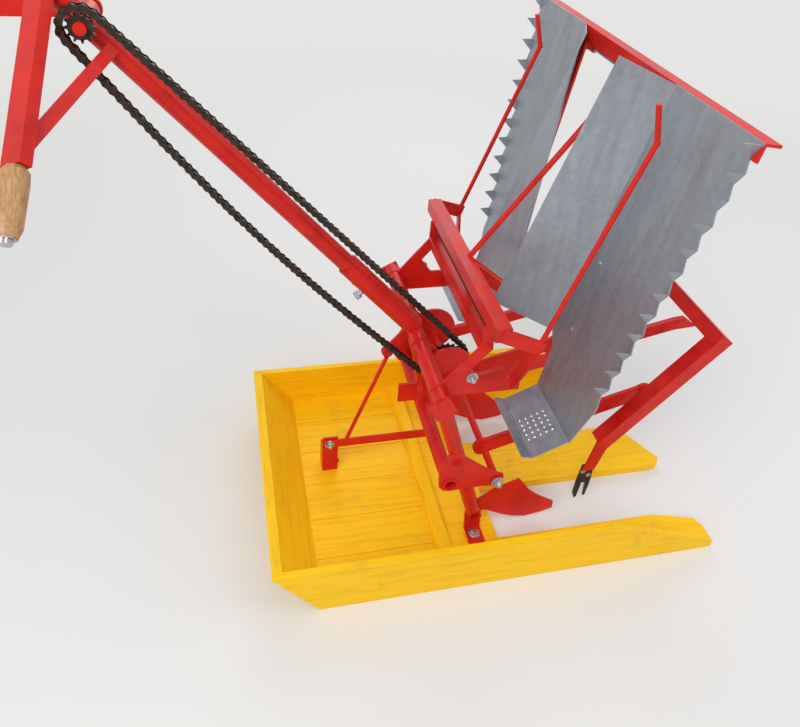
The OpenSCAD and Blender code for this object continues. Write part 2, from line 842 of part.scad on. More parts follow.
// Bar from the cross bar down and forward to the crank pin
module coupler(side) {
    eye_d = coupler_w + 4;
    color(red) difference() {
        side_slab(side, coupler_in, coupler_t) difference() {
            union() {
                bent_strip(arm_top, lug_c, pivot_c, coupler_w);
                translate(pivot_c) circle(d = eye_d);
            }
            translate(pivot_c) circle(d = pin_d + 1);
        }
        slab(-200, 400) in_arm() translate([arm_len - arm_w + arm_t, -arm_w]) square(3 * arm_w);
    }
}

// Two-prong planting claw
module claw(side) {
    body_h = 44;
    slot = 10;
    claw_t = 6;
    color("#1c1c1e") side_slab(side, claw_y - claw_t, claw_t)
        translate([claw_top.x + 1, claw_top.y]) polygon([
        [-claw_w / 2 + 4, 6], [claw_w / 2 - 2, 6], [claw_w / 2, -body_h], [claw_w / 2 - 2, -claw_l + 16],
        [claw_w / 2 - 5, -claw_l + 9], [slot / 2 + 1, -body_h], [-slot / 2 + 1, -body_h],
        [-slot / 2 - 1, -claw_l + 14], [-claw_w / 2 + 5, -claw_l + 6], [-claw_w / 2, -claw_l + 20],
        [-claw_w / 2, -body_h]]);
}

module on_plate() {
    translate([tray_foot.x, 0, tray_foot.y]) rotate([0, tray_lean, 0]) children();
}

// Outline of a back plate: its inner edge is the fold, its outer edge is serrated
module back_plate(side) {
    rotate([90, 0, 90]) linear_extrude(sheet_t) polygon([
        [side * gate_y, 0], [side * gate_y, gate_w], [side * fold_y(wall_w), wall_w],
            [side * fold_top_y, tray_l],
        [side * edge_top_y, tray_l], [side * edge_y(corner_w), corner_w], [side * (edge_low_y - 12), 0]]);
}

// Bent teeth: triangles turned forward out of the outer edge
module tray_teeth_row(side) {
    pitch = (tray_l - teeth_w) / tray_teeth;
    slope = (edge_top_y - edge_low_y) / tray_l;
    bend = 52;
    for (i = [0:tray_teeth - 1]) {
        w = teeth_w + i * pitch;
        translate([0, side * edge_y(w), w]) rotate([0, 0, side * bend])
            rotate([90, 0, 90]) linear_extrude(sheet_t)
                polygon([[side * -2, 2], [side * tooth_out, pitch - 8],
                    [side * (pitch * slope - 2), pitch - 3]]);
    }
}

// Inner wall: a ruled sheet between the fold, where it is sunk in the back plate, and its front edge
wall_steps = 8;
wall_skin = [-1.2, 1.6, 0];
function fold_pt(w) = let (q = plate_pt(1.6, w)) [q.x, fold_y(w) + 1, q.y];
function wall_pt(u, t) = let (a = fold_pt(wall_w + u * (tray_l - 1 - wall_w)),
    b = wall_front_low + u * (wall_front_top - wall_front_low)) a + t * (b - a);

// Four corners at each height: the front edge and the fold, on both faces of the sheet
module inner_wall() {
    n = wall_steps;
    polyhedron(
        points = [for (i = [0:n], c = [[0, 0], [1, 0], [1, 1], [0, 1]])
            wall_pt(i / n, c[0]) + c[1] * wall_skin],
        faces = concat(
            [[3, 2, 1, 0], [for (c = [0:3]) 4 * n + c]],
            [for (i = [0:n - 1], k = [0:3]) let (a = 4 * i + k, b = 4 * i + (k + 1) % 4)
                each [[a, b, b + 4], [a, b + 4, a + 4]]]));
}

// Shelf that the seedlings stand on, with its raised dimples and front flange
module tray_shelf(side) {
    down = atan2(shelf_front.y - tray_foot.y, shelf_front.x - tray_foot.x);
    depth = norm(tray_foot - shelf_front);
    grid = 11;
    side_slab(side, gate_y + 1, edge_low_y - 14 - gate_y) {
        bent_strip(plate_pt(sheet_t / 2, 1), shelf_front, flange_front, sheet_t);
    }
    for (i = [0:dimple_count - 1], j = [0:dimple_count - 1]) {
        p = tray_foot + (depth - 8 - i * grid) / depth * (shelf_front - tray_foot);
        translate([p.x, side * (gate_y + 62 + j * grid), p.y]) rotate([0, -down - 180, 0])
            cylinder(d1 = 8, d2 = 3, h = sheet_t + 1, $fn = 12);
    }
}

module tray(side) {
    color(galvanised) {
        on_plate() {
            back_plate(side);
            tray_teeth_row(side);
        }
        mirror([0, side == far ? 0 : 1, 0]) inner_wall();
        tray_shelf(side);
    }
}

// Angle iron behind the trays' top edges, two legs and four sliding collars
module tray_frame() {
    leg_low_w = lower_rail.y - 34;
    top_w = tray_l - angle_w;
    collar = frame_leg_w;
    color(red) on_plate() difference() {
        union() {
            translate([sheet_t, -edge_top_y, top_w]) cube([angle_t, 2 * edge_top_y, angle_w]);
            translate([sheet_t, -edge_top_y, tray_l - angle_t]) cube([angle_w, 2 * edge_top_y, angle_t]);
            for (side = [near, far]) {
                y0 = side == far ? frame_leg_y : -frame_leg_y - frame_leg_w;
                translate([sheet_t, y0, leg_low_w]) cube([angle_t, frame_leg_w, top_w - leg_low_w + 1]);
                for (r = [[lower_rail, rail_d], [upper_rail, top_rail_d]]) {
                    translate([sheet_t, y0, r[0].y - r[1] / 2]) cube([r[0].x - sheet_t, collar, r[1]]);
                    translate([r[0].x, y0, r[0].y]) rotate([-90, 0, 0])
                        cylinder(d = r[1] + 2 * collar_t, h = collar);
                }
            }
        }
        for (r = [[lower_rail, rail_d], [upper_rail, top_rail_d]]) {
            translate([r[0].x, -400, r[0].y]) rotate([-90, 0, 0])
                cylinder(d = r[1] + 2 * run_clear, h = 800);
        }
    }
}

float_deck();
float_bow();
float_side(near);  // float_side_near
float_side(far);  // float_side_far
float_batten();
foot(near);  // foot_near
foot(far);  // foot_far
leg(near);  // leg_near
leg(far);  // leg_far
top_tube();
side_frame(near);  // side_frame_near
side_frame(far);  // side_frame_far
rear_rail();
front_bar();
hold_rod(near);  // hold_rod_near
hold_rod(far);  // hold_rod_far
diagonal_rod();
centre_bracket();
tray_rail();
top_rail();
centre_strut();
lower_tube();
link_plate(near);  // link_plate_near
link_plate(far);  // link_plate_far
bearing(near);  // bearing_near
bearing(far);  // bearing_far
blade(near);  // blade_near
blade(far);  // blade_far
stay_angle();
front_stay();
stay_rod();
pole_sleeve();
clamp_bolt();
pole();
handle_bar();
handle_brace();
handle_grip();
chain();
crank_arm();
crank_grip();
top_sprocket();
crankshaft();
lower_sprocket();
rocker();
planting_arm(near);  // arm_near
planting_arm(far);  // arm_far
cross_bar();
coupler(near);  // coupler_near
coupler(far);  // coupler_far
claw(near);  // claw_near
claw(far);  // claw_far
tray(near);  // tray_near
tray(far);  // tray_far
tray_frame();
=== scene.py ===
"""Finishes, fittings and studio for a hand-cranked two-row rice transplanter."""

import json
import logging
import math
from abc import ABC, abstractmethod
from collections.abc import Sequence
from dataclasses import dataclass, field, replace
from enum import Enum

import bmesh
import bpy
from mathutils import Matrix, Vector

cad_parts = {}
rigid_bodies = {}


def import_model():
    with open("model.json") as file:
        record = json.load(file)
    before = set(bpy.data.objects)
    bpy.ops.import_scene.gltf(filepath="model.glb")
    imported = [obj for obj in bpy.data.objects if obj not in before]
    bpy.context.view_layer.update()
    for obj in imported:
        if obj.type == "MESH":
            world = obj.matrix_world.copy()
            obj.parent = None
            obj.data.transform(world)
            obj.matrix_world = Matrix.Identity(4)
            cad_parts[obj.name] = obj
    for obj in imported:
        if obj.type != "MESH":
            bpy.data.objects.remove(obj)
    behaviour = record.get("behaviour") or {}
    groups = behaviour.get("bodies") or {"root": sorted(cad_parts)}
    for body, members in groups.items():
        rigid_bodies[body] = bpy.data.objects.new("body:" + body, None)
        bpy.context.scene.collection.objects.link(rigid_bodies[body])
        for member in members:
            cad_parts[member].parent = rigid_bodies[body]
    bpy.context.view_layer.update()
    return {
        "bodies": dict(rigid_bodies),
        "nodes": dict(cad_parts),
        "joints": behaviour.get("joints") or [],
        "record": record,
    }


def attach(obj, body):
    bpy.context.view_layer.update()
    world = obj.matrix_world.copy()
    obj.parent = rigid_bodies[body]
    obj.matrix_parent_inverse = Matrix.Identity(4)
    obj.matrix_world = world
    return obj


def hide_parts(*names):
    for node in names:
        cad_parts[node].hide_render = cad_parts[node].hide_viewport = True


Point = tuple[float, float, float]
Pair = tuple[float, float]
Profile = Sequence[Pair]
Colour = tuple[float, float, float, float]
Material = bpy.types.Material
Mesh = bmesh.types.BMesh
Node = bpy.types.Node
Piece = bpy.types.Object
Socket = bpy.types.NodeSocket
Tree = bpy.types.NodeTree

MM = 0.001
ACROSS = (0.0, 1.0, 0.0)
NEARWARD = (0.0, -1.0, 0.0)
UPWARD = (0.0, 0.0, 1.0)
SMOOTH_BELOW = math.radians(35)
BACKDROP = "#F0F0EE"
BACKDROP_LEVEL = 0.9
# A Mix node has a set of sockets for each type of data, and their names are the same.
NUMBER_A, NUMBER_B = 2, 3
COLOUR_A, COLOUR_B, COLOUR_OUT = 6, 7, 2
LOG = logging.getLogger("transplanter")


class Body(Enum):
    """The moving bodies that carry a fitting."""

    MACHINE = "machine"
    CRANK = "crank"
    PLANTER = "planter"
    TRAYS = "trays"


class Grain(Enum):
    """The way that a board's grain runs, as the stretch of its pattern along x, y and z."""

    ALONG = (0.06, 1.0, 1.0)
    ACROSS = (1.0, 0.06, 1.0)


class Side(Enum):
    """The two sides of the middle plane, seen from the photograph's camera."""

    NEAR = -1
    FAR = 1


def linear(code: str) -> Colour:
    """Turn an sRGB hex colour into linear RGBA.

    Args:
        code: six hex digits, with or without a leading hash.

    Returns:
        The colour as linear red, green, blue and an alpha of 1.
    """
    digits = code.lstrip("#")
    parts = [int(digits[i : i + 2], 16) / 255 for i in (0, 2, 4)]
    r, g, b = [c / 12.92 if c <= 0.04045 else ((c + 0.055) / 1.055) ** 2.4 for c in parts]
    return (r, g, b, 1.0)


def add_node(
    tree: Tree,
    kind: str,
    settings: dict | None = None,
    links: dict | None = None,
    stops: dict | None = None,
) -> Node:
    """Add a node to a tree with its settings and the links into it.

    Args:
        tree: the tree that gets the node.
        kind: the node's type name, after "ShaderNode".
        settings: attribute names, or input names or numbers, to values.
        links: input names or numbers to what feeds them, a socket or a node's first output.
        stops: for a colour ramp, two positions in rising order to hex colours, or to the levels
            of linear greys.

    Returns:
        The new node.
    """
    node = tree.nodes.new("ShaderNode" + kind)
    for key, value in (settings or {}).items():
        if isinstance(key, str) and hasattr(node, key):
            setattr(node, key, value)
        else:
            node.inputs[key].default_value = value
    for key, source in (links or {}).items():
        socket = source.outputs[0] if isinstance(source, Node) else source
        tree.links.new(socket, node.inputs[key])
    for i, (position, value) in enumerate((stops or {}).items()):
        stop = node.color_ramp.elements[i]
        stop.position = position
        stop.color = linear(value) if isinstance(value, str) else (value, value, value, 1.0)
    return node


def in_sight(tree: Tree) -> Socket:
    """Add what tells a backdrop that it is seen and doesn't light the machine.

    Args:
        tree: the backdrop's node tree.

    Returns:
        A socket that is 1 for camera, mirror and glass rays and 0 for the rest.
    """
    rays = add_node(tree, "LightPath").outputs
    seen = rays["Is Camera Ray"]
    for kind in ("Is Glossy Ray", "Is Transmission Ray"):
        seen = add_node(tree, "Math", {"operation": "MAXIMUM"}, {0: seen, 1: rays[kind]}).outputs[0]
    return seen


def per_metre(size_mm: float) -> float:
    """Scale of a pattern in object space whose features are size_mm across."""
    return 1 / (size_mm * MM)


@dataclass(frozen=True)
class Finish(ABC):
    """A surface whose pattern lies in its piece's own space, so that it moves with the piece."""

    name: str

    @abstractmethod
    def surface(self, tree: Tree, place: Socket) -> Node:
        """Add the nodes of the surface.

        Args:
            tree: the material's empty tree.
            place: the coordinates in object space.

        Returns:
            The shader.
        """

    def make(self) -> Material:
        """Build the material.

        Returns:
            The material, with the surface on its output.
        """
        material = bpy.data.materials.new(self.name)
        material.use_nodes = True
        tree = material.node_tree
        tree.nodes.clear()
        place = add_node(tree, "TexCoord").outputs["Object"]
        add_node(tree, "OutputMaterial", links={"Surface": self.surface(tree, place)})
        return material


@dataclass(frozen=True)
class BrushedOilPaint(Finish):
    """Chrome yellow oil paint brushed on sawn pine: grain lifts it, and knots show brown through.

    The paint is thin, so the late wood's ridges read as darker streaks and break the sheen. The
    rings are drawn 7 mm apart, coarser than most of pine's own, so that they show.
    """

    name: str = "chrome_yellow_oil_paint_on_pine"
    grain: Grain = Grain.ALONG
    paint: str = "#FFCB05"
    streak: str = "#E8A907"
    knot: str = "#8A5A12"
    scuff: str = "#A98B45"
    ring_mm: float = 7.0
    ring_lift_mm: float = 0.6
    knot_mm: float = 120.0
    knot_round: float = 0.35
    scuff_mm: float = 60.0

    def surface(self, tree: Tree, place: Socket) -> Node:
        """Add the grain, then the knots on it, then the worn patches over both.

        Args:
            tree: the material's empty tree.
            place: the coordinates in object space.

        Returns:
            The shader.
        """
        laid = add_node(tree, "Mapping", {"Scale": self.grain.value}, {"Vector": place})
        rings = add_node(
            tree,
            "TexNoise",
            {"Scale": per_metre(self.ring_mm), "Detail": 6.0, "Roughness": 0.62, "Distortion": 0.6},
            {"Vector": laid},
        )
        ridges = add_node(
            tree, "ValToRGB", links={"Fac": rings}, stops={0.48: self.paint, 0.82: self.streak}
        )
        oval = tuple(self.knot_round + (1 - self.knot_round) * s for s in self.grain.value)
        drawn = add_node(tree, "Mapping", {"Scale": oval}, {"Vector": place})
        knots = add_node(tree, "TexVoronoi", {"Scale": per_metre(self.knot_mm)}, {"Vector": drawn})
        knot_mask = add_node(tree, "ValToRGB", links={"Fac": knots}, stops={0.03: 0.75, 0.085: 0.0})
        with_knots = add_node(
            tree,
            "Mix",
            {"data_type": "RGBA", COLOUR_B: linear(self.knot)},
            {"Factor": knot_mask, COLOUR_A: ridges},
        )
        dirt = add_node(
            tree,
            "TexNoise",
            {"Scale": per_metre(self.scuff_mm), "Detail": 8.0, "Roughness": 0.7},
            {"Vector": place},
        )
        dirt_mask = add_node(tree, "ValToRGB", links={"Fac": dirt}, stops={0.56: 0.0, 0.86: 0.55})
        worn = add_node(
            tree,
            "Mix",
            {"data_type": "RGBA", COLOUR_B: linear(self.scuff)},
            {"Factor": dirt_mask, COLOUR_A: with_knots.outputs[COLOUR_OUT]},
        )
        rough = add_node(tree, "MapRange", {"To Min": 0.4, "To Max": 0.64}, {"Value": rings})
        lift = add_node(
            tree, "Bump", {"Strength": 0.35, "Distance": self.ring_lift_mm * MM}, {"Height": rings}
        )
        return add_node(
            tree,
            "BsdfPrincipled",
            {"IOR": 1.48, "Specular IOR Level": 0.28},
            {"Base Color": worn.outputs[COLOUR_OUT], "Roughness": rough, "Normal": lift},
        )


@dataclass(frozen=True)
class SprayedEnamel(Finish):
    """Signal red enamel sprayed on welded steel: glossy, rippled, and dusty where it has stood.

    The ripple of the spray is drawn 3 mm across, coarser than the real one, so that it shows.
    """

    name: str = "signal_red_enamel"
    colour: str = "#DB261B"
    deep: str = "#C01B14"
    ripple_mm: float = 3.0
    ripple_lift_mm: float = 0.3
    cloud_mm: float = 45.0

    def surface(self, tree: Tree, place: Socket) -> Node:
        """Add the clouded colour and the spray's ripple under a thin clear coat.

        Args:
            tree: the material's empty tree.
            place: the coordinates in object space.

        Returns:
            The shader.
        """
        cloud = add_node(
            tree,
            "TexNoise",
            {"Scale": per_metre(self.cloud_mm), "Detail": 5.0, "Roughness": 0.6},
            {"Vector": place},
        )
        tone = add_node(
            tree, "ValToRGB", links={"Fac": cloud}, stops={0.3: self.deep, 0.6: self.colour}
        )
        rough = add_node(
            tree,
            "MapRange",
            {"From Min": 0.35, "From Max": 0.75, "To Min": 0.3, "To Max": 0.5},
            {"Value": cloud},
        )
        peel = add_node(
            tree, "TexNoise", {"Scale": per_metre(self.ripple_mm), "Detail": 2.0}, {"Vector": place}
        )
        ripple = add_node(
            tree, "Bump", {"Strength": 0.12, "Distance": self.ripple_lift_mm * MM}, {"Height": peel}
        )
        return add_node(
            tree,
            "BsdfPrincipled",
            {"IOR": 1.5, "Specular IOR Level": 0.2, "Coat Weight": 0.08, "Coat Roughness": 0.1},
            {"Base Color": tone, "Roughness": rough, "Normal": ripple},
        )


@dataclass(frozen=True)
class GalvanisedSheet(Finish):
    """Hot-dip galvanised steel sheet: dull zinc in flat crystals that each take the light apart.

    Rain and wet seedling mats have run down it, so soft upright streaks lie over the crystals.
    """

    name: str = "hot_dip_galvanised_sheet"
    light: str = "#A6ACB4"
    dark: str = "#8F959D"
    spangle_mm: float = 9.0
    streak_mm: float = 16.0
    streak_stretch: Point = (1.0, 1.0, 0.08)
    streak_share: float = 0.82

    def surface(self, tree: Tree, place: Socket) -> Node:
        """Add the crystals and the streaks, which set both the tone and the sheen.

        Args:
            tree: the material's empty tree.
            place: the coordinates in object space.

        Returns:
            The shader.
        """
        crystals = add_node(
            tree, "TexVoronoi", {"Scale": per_metre(self.spangle_mm)}, {"Vector": place}
        )
        shade = add_node(tree, "RGBToBW", links={0: crystals.outputs["Color"]})
        rolled = add_node(tree, "Mapping", {"Scale": self.streak_stretch}, {"Vector": place})
        streaks = add_node(
            tree,
            "TexNoise",
            {"Scale": per_metre(self.streak_mm), "Detail": 6.0, "Roughness": 0.6},
            {"Vector": rolled},
        )
        both = add_node(
            tree,
            "Mix",
            {"data_type": "FLOAT", "Factor": self.streak_share},
            {NUMBER_A: shade, NUMBER_B: streaks},
        )
        tone = add_node(
            tree, "ValToRGB", links={"Fac": both}, stops={0.3: self.dark, 0.72: self.light}
        )
        rough = add_node(tree, "MapRange", {"To Min": 0.34, "To Max": 0.56}, {"Value": both})
        return add_node(
            tree, "BsdfPrincipled", {"Metallic": 0.7}, {"Base Color": tone, "Roughness": rough}
        )


@dataclass(frozen=True)
class PlainSteel(Finish):
    """Steel with a thin even film on it, such as zinc plate, old oil or black hardening scale.

    The film is too thin to hide the metal, so its tone wanders softly and its sheen with it.
    """

    colour: str
    deep: str
    metallic: float
    roughness: float
    spread: float = 0.08
    cloud_mm: float = 8.0

    def surface(self, tree: Tree, place: Socket) -> Node:
        """Add the soft clouds of the film, which set both the tone and the sheen.

        Args:
            tree: the material's empty tree.
            place: the coordinates in object space.

        Returns:
            The shader.
        """
        cloud = add_node(
            tree, "TexNoise", {"Scale": per_metre(self.cloud_mm), "Detail": 4.0}, {"Vector": place}
        )
        tone = add_node(
            tree, "ValToRGB", links={"Fac": cloud}, stops={0.32: self.deep, 0.68: self.colour}
        )
        rough = add_node(
            tree,
            "MapRange",
            {"To Min": self.roughness - self.spread, "To Max": self.roughness + self.spread},
            {"Value": cloud},
        )
        return add_node(
            tree,
            "BsdfPrincipled",
            {"Metallic": self.metallic},
            {"Base Color": tone, "Roughness": rough},
        )


@dataclass(frozen=True)
class TurnedBeech(Finish):
    """Turned beech under a thin varnish: pale, close grained, with short dark flecks along it."""

    name: str = "turned_beech"
    colour: str = "#C79A68"
    fleck: str = "#9A6A3C"
    grain_mm: float = 3.0
    grain_stretch: Point = (1.0, 0.12, 0.5)

    def surface(self, tree: Tree, place: Socket) -> Node:
        """Add the flecked grain under an even sheen.

        Args:
            tree: the material's empty tree.
            place: the coordinates in object space.

        Returns:
            The shader.
        """
        laid = add_node(tree, "Mapping", {"Scale": self.grain_stretch}, {"Vector": place})
        grain = add_node(
            tree,
            "TexNoise",
            {"Scale": per_metre(self.grain_mm), "Detail": 5.0, "Roughness": 0.6},
            {"Vector": laid},
        )
        tone = add_node(
            tree, "ValToRGB", links={"Fac": grain}, stops={0.35: self.colour, 0.75: self.fleck}
        )
        return add_node(
            tree, "BsdfPrincipled", {"Roughness": 0.42, "IOR": 1.5}, {"Base Color": tone}
        )


@dataclass(frozen=True)
class PaleFloor(Finish):
    """A plain matt studio floor that passes into the backdrop well away from the machine."""

    name: str = "pale_studio_floor"
    colour: str = "#E9E8E5"
    near_m: float = 1.2
    far_m: float = 3.2

    def surface(self, tree: Tree, place: Socket) -> Node:
        """Add the matt floor, and the backdrop's own white where the floor is far and seen.

        Args:
            tree: the material's empty tree.
            place: the coordinates in object space.

        Returns:
            The shader.
        """
        matt = add_node(
            tree,
            "BsdfPrincipled",
            {"Base Color": linear(self.colour), "Roughness": 0.9, "Specular IOR Level": 0.1},
        )
        away = add_node(tree, "VectorMath", {"operation": "LENGTH"}, {0: place})
        fade = add_node(
            tree,
            "MapRange",
            {"interpolation_type": "SMOOTHSTEP", "From Min": self.near_m, "From Max": self.far_m},
            {"Value": away.outputs["Value"]},
        )
        share = add_node(tree, "Math", {"operation": "MULTIPLY"}, {0: fade, 1: in_sight(tree)})
        pale = add_node(tree, "Emission", {"Color": linear(BACKDROP), "Strength": BACKDROP_LEVEL})
        return add_node(tree, "MixShader", links={0: share, 1: matt, 2: pale})


SLOT_FINISHES: dict[str, Finish] = {
    "painted_board": BrushedOilPaint(),
    "red_paint": SprayedEnamel(),
    "galvanised_sheet": GalvanisedSheet(),
    # Zinc plate is the own finish of the bolts and rivets. The shelf dimples are galvanised sheet,
    # and there its lighter colour is a painted highlight.
    "zinc_plate": PlainSteel(
        "bright_zinc_plate_and_dimple_highlight", colour="#C9CCD1", deep="#A9ADB3", metallic=0.95, roughness=0.3
    ),
    "chain_steel": PlainSteel(
        "oiled_chain_steel", colour="#4A382E", deep="#241A15", metallic=0.55, roughness=0.42
    ),
    "black_steel": PlainSteel(
        "black_hardened_steel", colour="#1E1E21", deep="#111113", metallic=0.4, roughness=0.4
    ),
    "bare_wood": TurnedBeech(),
}
CROSS_FINISH = BrushedOilPaint("chrome_yellow_oil_paint_on_cross_boards", grain=Grain.ACROSS)


@dataclass
class Palette:
    """Every finish on the machine, made once: one for each slot, and one for boards laid across."""

    slots: dict[str, Material] = field(
        default_factory=lambda: {slot: finish.make() for slot, finish in SLOT_FINISHES.items()}
    )
    cross_boards: Material = field(default_factory=CROSS_FINISH.make)


def piece(
    name: str, mesh: Mesh, palette: Palette, slot: str, body: Body, smooth: bool = False
) -> Piece:
    """Turn a finished mesh into a piece that rides on a body.

    Args:
        name: the piece's name.
        mesh: its geometry in metres, in the machine's frame; it is freed here.
        palette: the finishes.
        slot: the record's material slot, which gives its finish.
        body: the body that carries it.
        smooth: whether its faces that meet at a shallow angle are shaded smooth.

    Returns:
        The new object.
    """
    data = bpy.data.meshes.new(name)
    bmesh.ops.recalc_face_normals(mesh, faces=mesh.faces)
    if smooth:
        for face in mesh.faces:
            face.smooth = True
        for edge in mesh.edges:
            edge.smooth = edge.calc_face_angle(0.0) < SMOOTH_BELOW
    mesh.to_mesh(data)
    mesh.free()
    data.materials.append(palette.slots[slot])
    obj = bpy.data.objects.new(name, data)
    bpy.context.scene.collection.objects.link(obj)
    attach(obj, body.value)
    LOG.info("%s: %d faces, rides on %s", name, len(data.polygons), body.value)
    return obj


def metres(x: float, y: float, z: float) -> Vector:
    """Point in metres from its place in millimetres."""
    return Vector((x, y, z)) * MM


def facing(centre: Vector, axis: Vector | Point) -> Matrix:
    """Matrix that puts z along axis with its origin at centre, in metres."""
    return Matrix.Translation(centre) @ Vector(axis).to_track_quat("Z", "Y").to_matrix().to_4x4()


def skin(mesh: Mesh, rings: Sequence[Sequence[Vector]]) -> None:
    """Add a closed form through rings of corners, with a flat cap on both ends.

    Args:
        mesh: the mesh that gets it.
        rings: two or more rings with as many corners each, in the same order, in metres.
    """
    loops = [[mesh.verts.new(p) for p in ring] for ring in rings]
    for low, high in zip(loops, loops[1:]):
        for i in range(len(low)):
            j = (i + 1) % len(low)
            mesh.faces.new((low[i], low[j], high[j], high[i]))
    mesh.faces.new(loops[0][::-1])
    mesh.faces.new(loops[-1])


def lathe(mesh: Mesh, profile: Profile, place: Matrix, sides: int) -> None:
    """Add a closed turned form to a mesh.

    Args:
        mesh: the mesh that gets it.
        profile: radius and height pairs in millimetres, bottom to top, off the axis.
        place: where its own z axis goes.
        sides: corners around it.
    """
    turns = [2 * math.pi * i / sides for i in range(sides)]
    rings = [[metres(r * math.cos(a), r * math.sin(a), h) for a in turns] for r, h in profile]
    skin(mesh, [[place @ p for p in ring] for ring in rings])


@dataclass(frozen=True)
class PoleLine:
    """The pole's upright plane: millimetres along the pole from the lower shaft, and above it."""

    foot_x: float = -101.0
    foot_z: float = 361.0
    along: Pair = (-0.665, 0.747)
    above: Pair = (0.747, 0.665)

    def at(self, reach: float, off: float, y: float) -> Vector:
        """Point of the machine by its place on the pole.

        Args:
            reach: millimetres along the pole from the lower shaft.
            off: millimetres above the pole's axis, square to it.
            y: millimetres from the middle plane.

        Returns:
            The point in metres.
        """
        x = self.foot_x + reach * self.along[0] + off * self.above[0]
        z = self.foot_z + reach * self.along[1] + off * self.above[1]
        return metres(x, y, z)

    def direction(self) -> Vector:
        """Direction up along the pole."""
        return Vector((self.along[0], 0, self.along[1]))


@dataclass(frozen=True)
class TrayPlane:
    """The leaning plane of both trays' back plates."""

    foot_x: float = 54.0
    foot_z: float = 354.0
    lean: float = math.radians(8.2)

    def at(self, off: float, y: float, up: float) -> Vector:
        """Point off millimetres behind the plates' front and up millimetres on it, in metres."""
        s, c = math.sin(self.lean), math.cos(self.lean)
        return metres(self.foot_x + up * s + off * c, y, self.foot_z + up * c - off * s)

    def front(self) -> Vector:
        """Direction that the plates' front faces."""
        return Vector((-math.cos(self.lean), 0, math.sin(self.lean)))


@dataclass(frozen=True)
class Bolt:
    """A hexagon head or nut on a washer, chamfered, with the thread's end where it stands out.

    Its place and sizes are in millimetres: across the flats, high, and how far the thread shows.
    """

    at: Point
    across: float
    height: float
    thread: float
    axis: Point = ACROSS
    washer_share: float = 0.78
    washer_top: float = 1.5
    washer_foot: float = -0.4
    washer_edge: Pair = (0.4, 0.3)
    head_foot: float = 1.4
    chamfer: Pair = (1.0, 0.7)
    thread_share: float = 0.29
    thread_depth: float = 0.45
    thread_step: float = 0.8
    thread_sunk: float = 0.5
    round_sides: int = 20
    head_sides: int = 6
    thread_sides: int = 12

    def add(self, mesh: Mesh) -> None:
        """Add the bolt to a mesh.

        Args:
            mesh: the mesh that gets it.
        """
        place = facing(metres(*self.at), self.axis)
        rim, top = self.across * self.washer_share, self.washer_top
        inward, down = self.washer_edge
        washer = [(rim, self.washer_foot), (rim, top - down), (rim - inward, top)]
        lathe(mesh, washer, place, self.round_sides)
        corner, top = self.across / math.sqrt(3), self.height
        inward, down = self.chamfer
        head = [(corner, self.head_foot), (corner, top - down), (corner - inward, top)]
        lathe(mesh, head, place, self.head_sides)
        if self.thread:
            crest = self.across * self.thread_share
            foot = self.height - self.thread_sunk
            steps = int(self.thread / self.thread_step)
            turns = [
                (crest - self.thread_depth * (i % 2), foot + i * self.thread / steps)
                for i in range(steps + 1)
            ]
            lathe(mesh, turns, place, self.thread_sides)

    def mirrored(self) -> "Bolt":
        """Mirror the bolt.

        Returns:
            The same bolt on the other side of the middle plane.
        """
        x, y, z = self.at
        across, along, up = self.axis
        return replace(self, at=(x, -y, z), axis=(across, -along, up))


def pairs(*bolts: Bolt) -> list[Bolt]:
    """Each far side bolt, and its twin on the near side."""
    return [twin for bolt in bolts for twin in (bolt.mirrored(), bolt)]


@dataclass
class FastenerSet:
    """The bolts of one body that share a finish, as one piece."""

    name: str
    body: Body
    bolts: list[Bolt]
    slot: str = "zinc_plate"

    def build(self, palette: Palette) -> Piece:
        """Build the bolts as one piece.

        Args:
            palette: the finishes.

        Returns:
            The piece.
        """
        mesh = bmesh.new()
        for bolt in self.bolts:
            bolt.add(mesh)
        return piece(self.name, mesh, palette, self.slot, self.body, smooth=True)


